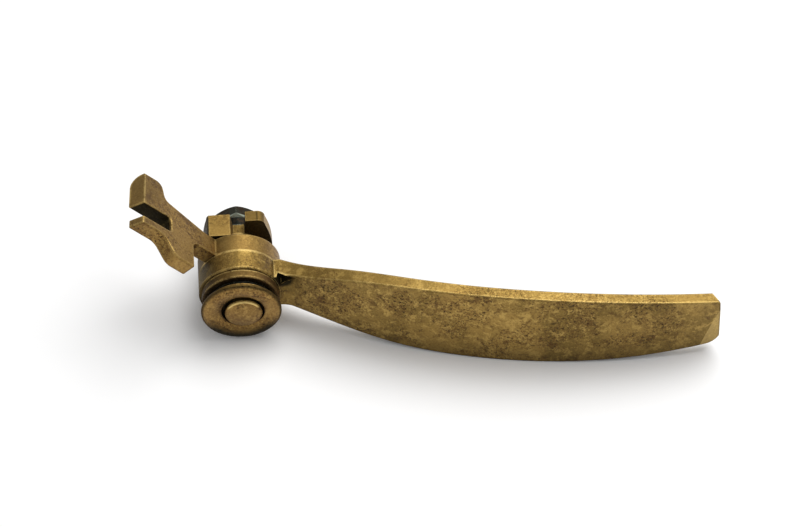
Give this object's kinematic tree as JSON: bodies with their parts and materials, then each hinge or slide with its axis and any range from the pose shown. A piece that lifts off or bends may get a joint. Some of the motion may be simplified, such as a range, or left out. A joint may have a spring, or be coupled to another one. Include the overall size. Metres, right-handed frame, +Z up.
{
  "type": "cockspur window handle",
  "caption": "Bowed brass casement lever with a two-point nose, turning on a small bracket that is screwed to the window sash.",
  "frame": {"origin": "on the pivot axis, in the plane of the bracket's seat on the sash", "axes": "+Y along the pivot axis, from the room into the sash; +X along the blade with the handle closed; +Z up"},
  "size_m": [0.1307, 0.0412, 0.0335],
  "materials": {
    "aged_brass": "worn, mottled brown-gold patina",
    "bolt_brass": "worn brass, a little rosier",
    "dark_spring": "dark oiled spring steel",
    "dark_steel": "dark greenish steel, dull"
  },
  "bodies": {
    "base": {"base_bracket": "aged_brass", "front_cap": "aged_brass", "pivot_bolt": "bolt_brass", "pivot_bush": "bolt_brass", "spring_washer": "dark_spring", "thrust_ring": "aged_brass", "rear_thrust_washer": "bolt_brass", "flat_washer": "dark_steel", "hex_nut": "dark_steel"},
    "lever": {"handle_lever": "aged_brass", "spur_nose": "aged_brass"}
  },
  "joints": [
    {"name": "handle_swing", "type": "hinge", "parent": "base", "child": "lever", "pos_m": [0, -0.0115, 0], "axis": [0, -1, 0], "range_deg": [0, 90]}
  ]
}
